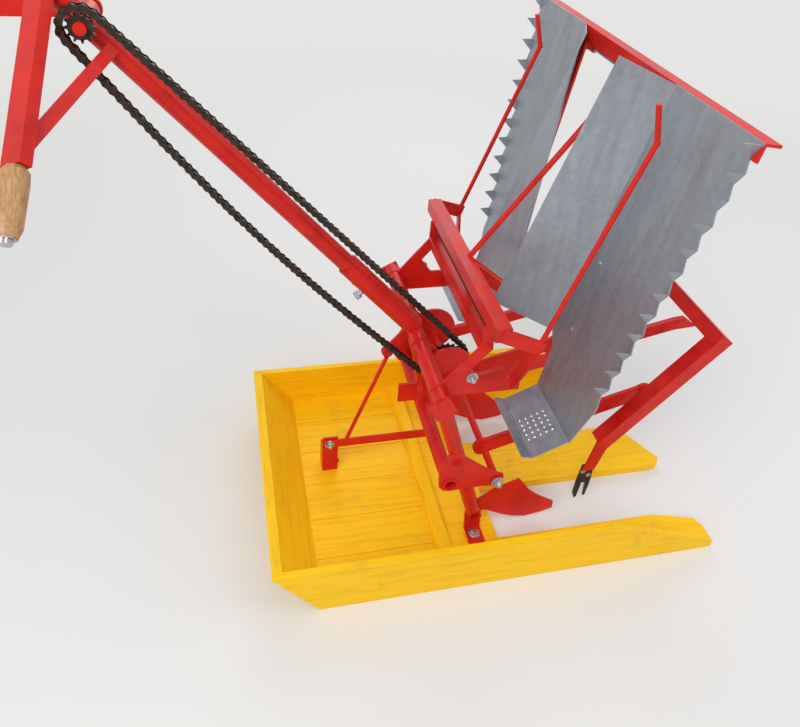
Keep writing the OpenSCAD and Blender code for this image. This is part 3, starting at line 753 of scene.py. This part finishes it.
@dataclass
class Fasteners:
    """Every bolt and nut that shows. One that comes in a pair is given for the far side."""

    stay_bolt: Bolt = Bolt((-299, 29.9, 101), 13, 6, 6, NEARWARD)
    side_frame_bolt: Bolt = Bolt((-97, 169.1, 436), 13, 6, 5)
    rocker_bolt: Bolt = Bolt((-22, 191.0, 191), 15, 7, 5)
    foot_nut: Bolt = Bolt((-39, 174.0, 23.2), 15, 8, 5, UPWARD)
    foot_angle_bolt: Bolt = Bolt((-285, 38.1, 40), 10, 5, 3)
    link_plate_bolt: Bolt = Bolt((-104, 186.1, 248), 15, 7, 4)
    brace_top_bolt: Bolt = Bolt((-80, 169.1, 497), 13, 5, 2)
    crank_grip_nut: Bolt = Bolt((-776.35, 156.1, 951.13), 12.5, 8, 0)
    crank_shaft_nut: Bolt = Bolt((-626.35, 59.1, 951.13), 20, 9, 4)
    upper_claw_bolt: Bolt = Bolt((202, 122.1, 100), 7, 3.5, 0, NEARWARD)
    lower_claw_bolt: Bolt = Bolt((216, 122.1, 88), 7, 3.5, 0, NEARWARD)
    handle_top: Point = (-666.25, 0.0, 995.95)
    handle_drop: Point = (-23.0, -205.0, -148.0)
    handle_grip: float = 84.1
    handle_nut_size: Pair = (13.4, 7.8)

    def handle_nut(self) -> Bolt:
        """Place the nut on the rod through the wooden handle grip.

        Returns:
            The nut, on the grip's outer end face.
        """
        drop = Vector(self.handle_drop)
        outward = drop.normalized()
        end = Vector(self.handle_top) + drop + outward * self.handle_grip
        return Bolt(tuple(end), *self.handle_nut_size, 0, tuple(outward))

    def build(self, palette: Palette) -> None:
        """Build a set for each body, and one for those that were sprayed with the frame.

        Args:
            palette: the finishes.
        """
        bright = pairs(self.side_frame_bolt, self.rocker_bolt, self.foot_nut)
        bright += [self.stay_bolt, self.handle_nut()]
        painted = [self.foot_angle_bolt] + pairs(self.link_plate_bolt, self.brace_top_bolt)
        crank = [self.crank_grip_nut, self.crank_shaft_nut]
        claws = pairs(self.upper_claw_bolt, self.lower_claw_bolt)
        for fasteners in (
            FastenerSet("frame_bolts", Body.MACHINE, bright),
            FastenerSet("painted_bolts", Body.MACHINE, painted, "red_paint"),
            FastenerSet("crank_nuts", Body.CRANK, crank),
            FastenerSet("planter_bolts", Body.PLANTER, claws),
        ):
            fasteners.build(palette)


@dataclass
class RollerChain:
    """Roller chain over both sprockets, its slack run hanging: side plates, rollers and pins.

    The path follows the solid loop that it stands for: two arcs and two runs in the pole's plane.
    """

    pole: PoleLine = PoleLine()
    pitch: float = 12.7
    width: float = 14.0
    height: float = 10.0
    sag: float = 20.0
    reach: float = 790.0
    top_teeth: int = 12
    low_teeth: int = 22
    plane_y: float = -34.0
    plate: float = 1.3
    plate_play: float = 0.25
    waist: float = 0.66
    inner: float = 7.2
    roller_r: float = 4.2
    pin_r: float = 1.9
    corners: int = 5
    roller_sides: int = 8
    pin_sides: int = 6

    def radius(self, teeth: int) -> float:
        """Pitch radius of a sprocket with that many teeth."""
        return self.pitch / 2 / math.sin(math.pi / teeth)

    def drive(self) -> tuple[float, float, float]:
        """Radii of the low and the top sprocket, and how far the runs lean from the pole."""
        low, top = self.radius(self.low_teeth), self.radius(self.top_teeth)
        return low, top, math.asin((low - top) / self.reach)

    def total(self) -> float:
        """Work out how long the chain is.

        Returns:
            The length of the whole loop in millimetres.
        """
        low, top, lean = self.drive()
        arcs = (math.pi + 2 * lean) * low + (math.pi - 2 * lean) * top
        return 2 * self.reach * math.cos(lean) + arcs

    def point(self, u: float) -> Pair:
        """Place on the chain's centre line.

        Args:
            u: distance along the loop in millimetres.

        Returns:
            The distance along the pole and the height above it, from the lower shaft.
        """
        low, top, lean = self.drive()
        run = self.reach * math.cos(lean)
        wrap = (math.pi + 2 * lean) * low
        c, s = math.cos(lean), math.sin(lean)
        if u < run:
            return (self.reach + top * s - u * c, top * c + u * s)
        if u < run + wrap:
            turn = math.pi / 2 - lean + (u - run) / low
            return (low * math.cos(turn), low * math.sin(turn))
        if u < 2 * run + wrap:
            t = (u - run - wrap) / run
            hang = self.sag * math.sin(math.pi * t)
            return (low * s + t * run * c, t * run * s - low * c - hang)
        turn = 1.5 * math.pi + lean + (u - 2 * run - wrap) / top
        return (self.reach + top * math.cos(turn), top * math.sin(turn))

    def outline(self, a: Pair, b: Pair) -> Profile:
        """Outline of a waisted side plate with round ends.

        Args:
            a: the first pin.
            b: the second pin.

        Returns:
            The corners around the plate.
        """
        heading = math.atan2(b[1] - a[1], b[0] - a[0])
        middle = ((a[0] + b[0]) / 2, (a[1] + b[1]) / 2)
        r = self.height / 2
        corners = []
        for pin, quarter in ((a, math.pi / 2), (b, -math.pi / 2)):
            for i in range(self.corners):
                t = heading + quarter + math.pi * i / (self.corners - 1)
                corners.append((pin[0] + r * math.cos(t), pin[1] + r * math.sin(t)))
            t = heading - quarter
            narrow = self.waist * r
            corners.append((middle[0] + narrow * math.cos(t), middle[1] + narrow * math.sin(t)))
        return corners

    def world(self, p: Pair, y: float) -> Vector:
        """Point of the pole's plane, y millimetres from the chain's own plane, in metres."""
        return self.pole.at(p[0], p[1], self.plane_y + y)

    def build(self, palette: Palette) -> Piece:
        """Build the chain as one piece in place of its plain loop.

        Args:
            palette: the finishes.

        Returns:
            The piece.
        """
        mesh = bmesh.new()
        loop = self.total()
        links = 2 * round(loop / 2 / self.pitch)
        pins = [self.point(i * loop / links) for i in range(links)]
        half, reach = self.inner / 2, self.width / 2
        for i, a in enumerate(pins):
            ring = self.outline(a, pins[(i + 1) % links])
            offset = half if i % 2 else half + self.plate + self.plate_play
            for side in Side:
                inside, outside = side.value * offset, side.value * (offset + self.plate)
                skin(mesh, [[self.world(p, y) for p in ring] for y in (inside, outside)])
            middle = facing(self.world(a, 0), ACROSS)
            roller = [(self.roller_r, -half), (self.roller_r, half)]
            lathe(mesh, roller, middle, self.roller_sides)
            lathe(mesh, [(self.pin_r, -reach), (self.pin_r, reach)], middle, self.pin_sides)
        chain = piece("roller_chain", mesh, palette, "chain_steel", Body.MACHINE)
        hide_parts("chain")
        return chain


@dataclass
class WeldSeam:
    """A hand-laid bead around a joint: overlapping ripples of metal under the paint."""

    centre: Vector
    axis: Vector | Point
    radius: float
    bead: float = 1.8
    ripples: int = 26
    steps: int = 4
    around: int = 7
    swell: float = 0.18

    def add(self, mesh: Mesh) -> None:
        """Add the bead to a mesh.

        Args:
            mesh: the mesh that gets it.
        """
        place = facing(self.centre, self.axis)
        count = self.ripples * self.steps
        rings = []
        for i in range(count):
            a = 2 * math.pi * i / count
            wave = math.cos(2 * math.pi * (i % self.steps) / self.steps)
            thick = self.bead * (1 - self.swell + self.swell * wave)
            ring = []
            for j in range(self.around):
                t = 2 * math.pi * j / self.around
                r = self.radius + thick * math.cos(t)
                at = metres(r * math.cos(a), r * math.sin(a), thick * math.sin(t))
                ring.append(mesh.verts.new(place @ at))
            rings.append(ring)
        for i in range(count):
            low, high = rings[i], rings[(i + 1) % count]
            for j in range(self.around):
                k = (j + 1) % self.around
                mesh.faces.new((low[j], high[j], high[k], low[k]))


@dataclass
class FrameWelds:
    """The beads where the frame's tubes meet, in millimetres."""

    pole: PoleLine = PoleLine()
    sleeve_end: float = 269.0
    sleeve_end_r: float = 16.6
    sleeve_end_bead: float = 1.6
    sleeve_band: float = 236.0
    sleeve_band_r: float = 19.0
    sleeve_band_bead: float = 1.1
    tube_x: float = -152.0
    tube_z: float = 412.0
    tube_r: float = 15.0
    tube_pair_y: tuple[float, ...] = (46.0, 51.0, 170.0)
    tube_eye_y: tuple[float, ...] = (19.5, 40.5)
    leg_joint: Point = (-112.4, 181.0, 196.0)
    leg_r: float = 14.2
    rocker_joint: Point = (-22.0, 105.5, 191.0)
    rocker_r: float = 7.2

    def seams(self) -> list[WeldSeam]:
        """List the beads.

        Returns:
            Every bead of the frame.
        """
        rise = self.pole.direction()
        end = self.pole.at(self.sleeve_end, 0, 0)
        band = self.pole.at(self.sleeve_band, 0, 0)
        beads = [
            WeldSeam(end, rise, self.sleeve_end_r, self.sleeve_end_bead),
            WeldSeam(band, rise, self.sleeve_band_r, self.sleeve_band_bead),
        ]
        both = [side.value * y for side in Side for y in self.tube_pair_y]
        for y in (*both, *self.tube_eye_y):
            beads.append(WeldSeam(metres(self.tube_x, y, self.tube_z), ACROSS, self.tube_r))
        for side in Side:
            for (x, y, z), r in (self.leg_joint, self.leg_r), (self.rocker_joint, self.rocker_r):
                beads.append(WeldSeam(metres(x, side.value * y, z), ACROSS, r))
        return beads

    def build(self, palette: Palette) -> Piece:
        """Build the frame's beads as one red piece.

        Args:
            palette: the finishes.

        Returns:
            The piece.
        """
        mesh = bmesh.new()
        for seam in self.seams():
            seam.add(mesh)
        return piece("frame_welds", mesh, palette, "red_paint", Body.MACHINE, smooth=True)


@dataclass
class FeedScrew:
    """The screw behind the front bar that pushes the trays across, a grooved dark rod."""

    x: float = -77.0
    z: float = 527.0
    half: float = 163.5
    radius: float = 5.5
    core: float = 4.2
    groove: float = 6.0
    flank: float = 1.5
    crest: float = 2.0
    sides: int = 14

    def build(self, palette: Palette) -> Piece:
        """Build the screw as one oiled piece.

        Args:
            palette: the finishes.

        Returns:
            The piece.
        """
        mesh = bmesh.new()
        place = facing(metres(self.x, -self.half, self.z), ACROSS)
        length = 2 * self.half
        profile = []
        for turn in range(math.ceil(length / self.groove) - 1):
            start = turn * self.groove
            rise, fall = start + self.flank, start + self.flank + self.crest
            profile += [(self.core, start), (self.radius, rise), (self.radius, fall)]
            profile.append((self.core, fall + self.flank))
        profile.append((self.core, length))
        lathe(mesh, profile, place, self.sides)
        return piece("feed_screw", mesh, palette, "chain_steel", Body.MACHINE)


@dataclass
class FloatNails:
    """Wire nails that hold the float's boards, their painted heads just proud of the wood."""

    head: Profile = ((3.2, -0.5), (3.2, 0.5), (2.4, 0.8))
    sides: int = 10
    deck_rows: tuple[Pair, ...] = ((-107.0, 32.0), (-341.0, 18.0))
    deck_nails: int = 6
    deck_pitch: float = 90.0
    wall_y: float = 270.0
    wall_nails: int = 7
    wall_pitch: float = 110.0
    wall_start: float = -330.0
    wall_z: float = 9.0
    bow_x: float = -431.0
    bow_top: float = 110.0
    bow_slope: float = 0.75
    bow_nails: tuple[float, ...] = (35.0, 62.0, 90.0)

    def build(self, palette: Palette) -> Piece:
        """Build all nail heads as one piece.

        Args:
            palette: the finishes.

        Returns:
            The piece.
        """
        mesh = bmesh.new()
        for x, z in self.deck_rows:
            for i in range(self.deck_nails):
                y = (i - (self.deck_nails - 1) / 2) * self.deck_pitch
                lathe(mesh, self.head, facing(metres(x, y, z), UPWARD), self.sides)
        row = range(self.wall_nails)
        wall = [(self.wall_start + i * self.wall_pitch, self.wall_z) for i in row]
        wall += [(self.bow_x + (self.bow_top - z) * self.bow_slope, z) for z in self.bow_nails]
        for side in Side:
            for x, z in wall:
                centre = metres(x, side.value * self.wall_y, z)
                lathe(mesh, self.head, facing(centre, (0, side.value, 0)), self.sides)
        return piece("float_nails", mesh, palette, "painted_board", Body.MACHINE, smooth=True)


@dataclass
class SeedlingTray:
    """A tray folded from one sheet: serrated back plate, swept inner wall and dimpled shelf.

    It stands in for the plain solid of the same sizes, and adds the cuts that free each tooth.
    Pairs are y at the foot and at the top, or y and height on the plate, in millimetres.
    """

    side: Side
    plane: TrayPlane = TrayPlane()
    length: float = 568.0
    sheet: float = 2.0
    gate: Pair = (115.0, 88.0)
    fold: Pair = (82.0, 145.0)
    edge: Pair = (272.0, 341.0)
    edge_corner: float = 96.0
    edge_foot: float = 260.0
    fold_lap: float = 1.0
    wall_foot: float = 110.0
    wall_low: Point = (-34.0, 55.0, 505.0)
    wall_over: Point = (-43.0, 55.0, 572.0)
    wall_root: float = 1.6
    wall_skin: Point = (-1.2, 1.6, 0.0)
    wall_steps: int = 28
    shelf_lip: Pair = (-5.0, 326.0)
    flange_lip: Pair = (-25.0, 332.0)
    shelf_y: Pair = (116.0, 259.0)
    teeth: int = 12
    teeth_foot: float = 108.0
    tooth_gap: float = 3.0
    tooth_root: Pair = (19.0, 8.0)
    tooth_reach: float = 21.0
    tooth_overlap: float = 1.0
    tooth_skin: Pair = (-1.6, 0.8)
    dimples: int = 5
    dimple_pitch: float = 11.0
    dimple_y: float = 177.0
    dimple_inset: float = 8.0
    dimple: Profile = ((4.4, -0.2), (3.4, 1.9), (1.9, 3.1), (0.5, 3.5))
    dimple_sides: int = 12

    def across(self, ends: Pair, up: float) -> float:
        """Distance from the middle plane of a line that slants up the plate."""
        return ends[0] + (ends[1] - ends[0]) * up / self.length

    def place(self, x: float, y: float, z: float) -> Vector:
        """Point on this tray's side, in metres."""
        return metres(x, self.side.value * y, z)

    def plate(self, off: float, y: float, up: float) -> Vector:
        """Point off millimetres behind the plate's front face, in metres."""
        return self.plane.at(off, self.side.value * y, up)

    def tooth_roots(self) -> list[tuple[Pair, Pair]]:
        """Place the roots of the teeth.

        Returns:
            The upper and lower corner of each tooth's root, from the top tooth down.
        """
        pitch = (self.length - self.teeth_foot) / self.teeth
        drop, inward = self.tooth_root
        roots = []
        for i in reversed(range(self.teeth)):
            up = self.teeth_foot + (i + 1) * pitch - self.tooth_gap
            low = self.across(self.edge, up - drop) - inward
            roots.append(((self.across(self.edge, up), up), (low, up - drop)))
        return roots

    def back_plate(self, mesh: Mesh) -> None:
        """Add the back plate, with a notch under each tooth.

        Args:
            mesh: the mesh that gets it.
        """
        outline = [
            (self.gate[0], 0.0),
            self.gate,
            (self.across(self.fold, self.wall_foot), self.wall_foot),
            (self.fold[1], self.length),
            (self.edge[1], self.length),
        ]
        for root in self.tooth_roots():
            outline += root
        corner = (self.across(self.edge, self.edge_corner), self.edge_corner)
        outline += [corner, (self.edge_foot, 0.0)]
        skin(mesh, [[self.plate(off, y, up) for y, up in outline] for off in (0, self.sheet)])

    def tooth_row(self, mesh: Mesh) -> None:
        """Add the teeth, each folded forward about its own slanted root.

        Args:
            mesh: the mesh that gets them.
        """
        in_y, in_up = self.tooth_skin
        for (high_y, high), (low_y, low) in self.tooth_roots():
            face = [
                (self.tooth_overlap, high_y, high),
                (self.tooth_overlap, low_y, low),
                (-self.tooth_reach, (high_y + low_y) / 2, high - self.sheet),
            ]
            back = [self.plate(off, y + in_y, up + in_up) for off, y, up in face]
            skin(mesh, [[self.plate(*p) for p in face], back])

    def inner_wall(self, mesh: Mesh) -> None:
        """Add the inner wall, swept from the fold to its front edge.

        Args:
            mesh: the mesh that gets it.
        """
        thick = self.place(*self.wall_skin)
        low_end, high_end = self.place(*self.wall_low), self.plate(*self.wall_over)
        rings = []
        for i in range(self.wall_steps + 1):
            share = i / self.wall_steps
            up = self.wall_foot + share * (self.length - self.fold_lap - self.wall_foot)
            root = self.plate(self.wall_root, self.across(self.fold, up) + self.fold_lap, up)
            lip = low_end.lerp(high_end, share)
            rings.append((root, lip, lip + thick, root + thick))
        skin(mesh, rings)

    def shelf(self, mesh: Mesh) -> None:
        """Add the shelf and its turned-up front flange.

        Args:
            mesh: the mesh that gets them.
        """
        heel = Vector((self.plane.foot_x + self.fold_lap, self.plane.foot_z + self.fold_lap))
        lip, flange = Vector(self.shelf_lip), Vector(self.flange_lip)
        first = (lip - heel).orthogonal().normalized()
        second = (flange - lip).orthogonal().normalized()
        mitre = (first + second) / (1 + first.dot(second))
        line = ((heel, first), (lip, mitre), (flange, second))
        half = self.sheet / 2
        section = [p - normal * half for p, normal in line]
        section += [p + normal * half for p, normal in reversed(line)]
        skin(mesh, [[self.place(p.x, y, p.y) for p in section] for y in self.shelf_y])

    def dimple_grid(self, mesh: Mesh) -> None:
        """Add the raised dimples that the shelf is punched with.

        Args:
            mesh: the mesh that gets them.
        """
        foot = Vector((self.plane.foot_x, self.plane.foot_z))
        run = Vector(self.shelf_lip) - foot
        slope = run.normalized()
        up = (slope.y, 0, -slope.x)
        for i in range(self.dimples):
            at = foot + slope * (run.length - self.dimple_inset - i * self.dimple_pitch)
            for j in range(self.dimples):
                centre = self.place(at.x, self.dimple_y + j * self.dimple_pitch, at.y)
                lathe(mesh, self.dimple, facing(centre, up), self.dimple_sides)

    def build(self, palette: Palette) -> Piece:
        """Build the tray and its dimples in place of its plain solid.

        Args:
            palette: the finishes.

        Returns:
            The tray's own piece.
        """
        which = self.side.name.lower()
        mesh = bmesh.new()
        self.back_plate(mesh)
        self.tooth_row(mesh)
        self.inner_wall(mesh)
        self.shelf(mesh)
        name = f"seedling_tray_{which}"
        tray = piece(name, mesh, palette, "galvanised_sheet", Body.TRAYS, smooth=True)
        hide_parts(f"tray_{which}")
        # The dimples are of the tray's galvanised sheet, but take the lighter zinc plate finish: a
        # painted highlight on each stamped cone.
        grid = bmesh.new()
        self.dimple_grid(grid)
        name = f"tray_dimples_{which}"
        piece(name, grid, palette, "zinc_plate", Body.TRAYS, smooth=True)
        return tray


@dataclass
class TrayRivets:
    """Rivets that hold the trays to their red frame, on the faces where the seedlings lie."""

    plane: TrayPlane = TrayPlane()
    rivet_y: float = 146.0
    heights: tuple[float, ...] = (150.0, 280.0, 410.0)
    head: Profile = ((4.0, -0.4), (3.8, 0.8), (2.6, 1.7), (1.0, 2.1))
    sides: int = 12

    def build(self, palette: Palette) -> Piece:
        """Build the rivets as one piece on the trays.

        Args:
            palette: the finishes.

        Returns:
            The piece.
        """
        mesh = bmesh.new()
        for side in Side:
            for up in self.heights:
                centre = self.plane.at(0, side.value * self.rivet_y, up)
                lathe(mesh, self.head, facing(centre, self.plane.front()), self.sides)
        return piece("tray_rivets", mesh, palette, "zinc_plate", Body.TRAYS, smooth=True)


@dataclass
class Dresser:
    """Gives every solid of the frame its finish: its slot's, or that of boards laid across."""

    palette: Palette
    cross_boards: tuple[str, ...] = ("float_bow", "float_batten")

    def dress(self, frame: dict) -> None:
        """Put a finish on each node of the frame.
        """
        slots = {s["node"]: s["material_slot"] for s in frame["record"]["subparts"]}
        for name, obj in frame["nodes"].items():
            across = name in self.cross_boards
            material = self.palette.cross_boards if across else self.palette.slots[slots[name]]
            obj.data.materials.clear()
            obj.data.materials.append(material)
            LOG.info("%s: %s", name, material.name)


@dataclass(frozen=True)
class Lamp:
    """A square soft lamp: its place and side in metres, and its power in watts."""

    name: str
    spot: Point
    side: float
    watts: float

    def hang(self, target: Point) -> None:
        """Hang the lamp so that it faces a target.

        Args:
            target: the point that it faces, in metres.
        """
        data = bpy.data.lights.new(self.name, "AREA")
        data.shape = "SQUARE"
        data.size = self.side
        data.energy = self.watts
        obj = bpy.data.objects.new(self.name, data)
        obj.location = self.spot
        aim = Vector(target) - Vector(self.spot)
        obj.rotation_euler = aim.to_track_quat("-Z", "Y").to_euler()
        bpy.context.scene.collection.objects.link(obj)


@dataclass
class Studio:
    """Pale floor, soft lamps, an even sky and the camera of the photograph, in metres."""

    eye: Point = (-0.462, -1.004, 1.221)
    right: Point = (0.974, -0.217, 0.071)
    up: Point = (0.070, 0.580, 0.812)
    focal_px: float = 724.7
    frame_px: tuple[int, int] = (800, 727)
    centre_px: Pair = (400.0, 300.0)
    sensor_mm: float = 36.0
    near_clip: float = 0.05
    lamp_target: Point = (0.0, 0.0, 0.35)
    lamps: tuple[Lamp, ...] = (
        Lamp("key_lamp", (-1.6, -2.0, 2.8), 2.2, 62),
        Lamp("fill_lamp", (2.4, -0.8, 2.2), 2.6, 26),
        Lamp("back_lamp", (0.4, 2.6, 2.2), 2.0, 24),
    )
    sky_colour: str = "#F2F5FA"
    sky_level: float = 0.55
    floor_half: float = 40.0
    floor_drop: float = 0.0005

    def floor(self) -> None:
        """Lay the floor just under the sole."""
        mesh = bmesh.new()
        bmesh.ops.create_grid(mesh, x_segments=1, y_segments=1, size=self.floor_half)
        data = bpy.data.meshes.new("studio_floor")
        mesh.to_mesh(data)
        mesh.free()
        data.materials.append(PaleFloor().make())
        obj = bpy.data.objects.new("studio_floor", data)
        obj.location.z = -self.floor_drop
        bpy.context.scene.collection.objects.link(obj)

    def sky(self) -> None:
        """Light the scene evenly, and show the backdrop's white behind the floor's far edge."""
        world = bpy.data.worlds.new("even_sky")
        bpy.context.scene.world = world
        world.use_nodes = True
        tree = world.node_tree
        tree.nodes.clear()
        soft, white = (
            add_node(tree, "Background", {"Color": linear(code), "Strength": level})
            for code, level in ((self.sky_colour, self.sky_level), (BACKDROP, BACKDROP_LEVEL))
        )
        both = add_node(tree, "MixShader", links={0: in_sight(tree), 1: soft, 2: white})
        add_node(tree, "OutputWorld", links={"Surface": both})

    def camera(self) -> None:
        """Stand the camera where the photograph was taken from."""
        data = bpy.data.cameras.new("photograph_camera")
        data.sensor_width = self.sensor_mm
        data.sensor_fit = "HORIZONTAL"
        data.lens = self.focal_px / self.frame_px[0] * self.sensor_mm
        data.shift_y = (self.centre_px[1] - self.frame_px[1] / 2) / self.frame_px[0]
        data.clip_start = self.near_clip
        obj = bpy.data.objects.new("photograph_camera", data)
        side = Vector(self.right).normalized()
        rise = (Vector(self.up) - side * Vector(self.up).dot(side)).normalized()
        turn = Matrix((side, rise, side.cross(rise))).transposed().to_4x4()
        obj.matrix_world = Matrix.Translation(Vector(self.eye)) @ turn
        bpy.context.scene.collection.objects.link(obj)
        bpy.context.scene.camera = obj

    def build(self) -> None:
        """Set up the whole studio."""
        bpy.context.scene.view_settings.view_transform = "Standard"
        self.floor()
        for lamp in self.lamps:
            lamp.hang(self.lamp_target)
        self.sky()
        self.camera()


def main() -> None:
    """Load the frame, dress it, add its fittings and set up the studio."""
    logging.basicConfig(level=logging.INFO, format="%(message)s")
    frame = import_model()
    palette = Palette()
    Dresser(palette).dress(frame)
    RollerChain().build(palette)
    FeedScrew().build(palette)
    FrameWelds().build(palette)
    Fasteners().build(palette)
    FloatNails().build(palette)
    for side in Side:
        SeedlingTray(side).build(palette)
    TrayRivets().build(palette)
    Studio().build()


if __name__ == "__main__":
    main()
